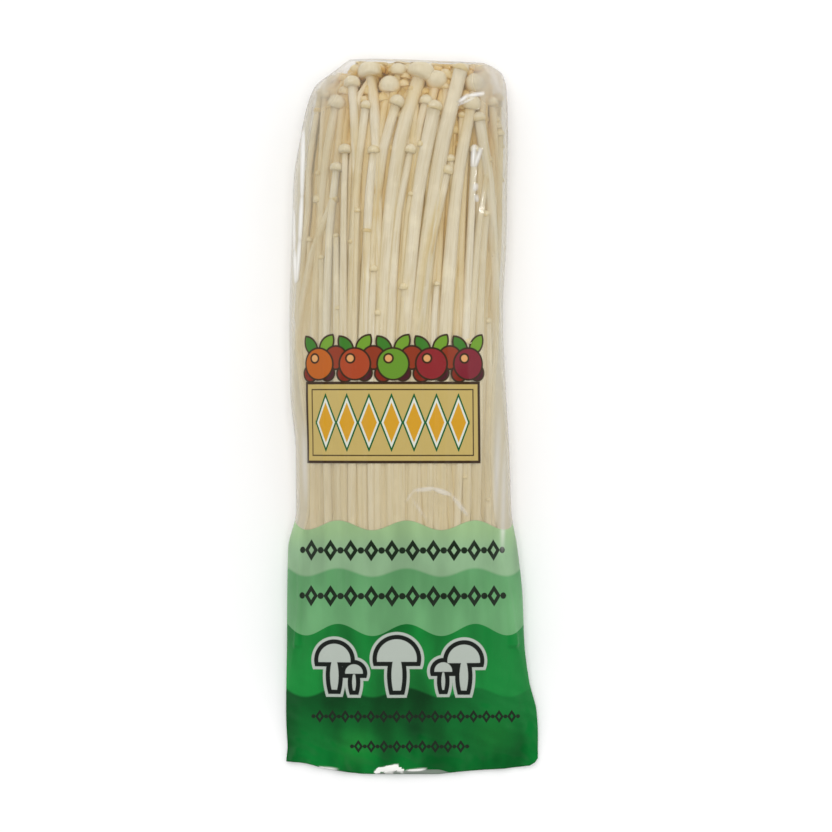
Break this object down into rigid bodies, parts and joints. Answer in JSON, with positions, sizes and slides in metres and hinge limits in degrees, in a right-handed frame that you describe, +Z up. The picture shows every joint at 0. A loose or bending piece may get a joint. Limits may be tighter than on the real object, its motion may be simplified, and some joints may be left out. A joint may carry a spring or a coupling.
{
  "type": "enoki mushroom bunch",
  "caption": "Bunch of enoki mushrooms lying flat in a clear printed film bag, stems joined in a root block, small caps at the far end.",
  "frame": {"origin": "middle of the film bag's outline seen from above, on the surface it lies on", "axes": "+Y from the root end to the caps, +X to the right seen from above, +Z up off the surface"},
  "size_m": [0.0738, 0.2088, 0.0271],
  "materials": {
    "mushroom": "moist ivory flesh",
    "film": "glossy clear film, printed"
  },
  "bodies": {
    "root": {"mushroom_bunch": "mushroom", "film_bag": "film"}
  },
  "joints": []
}
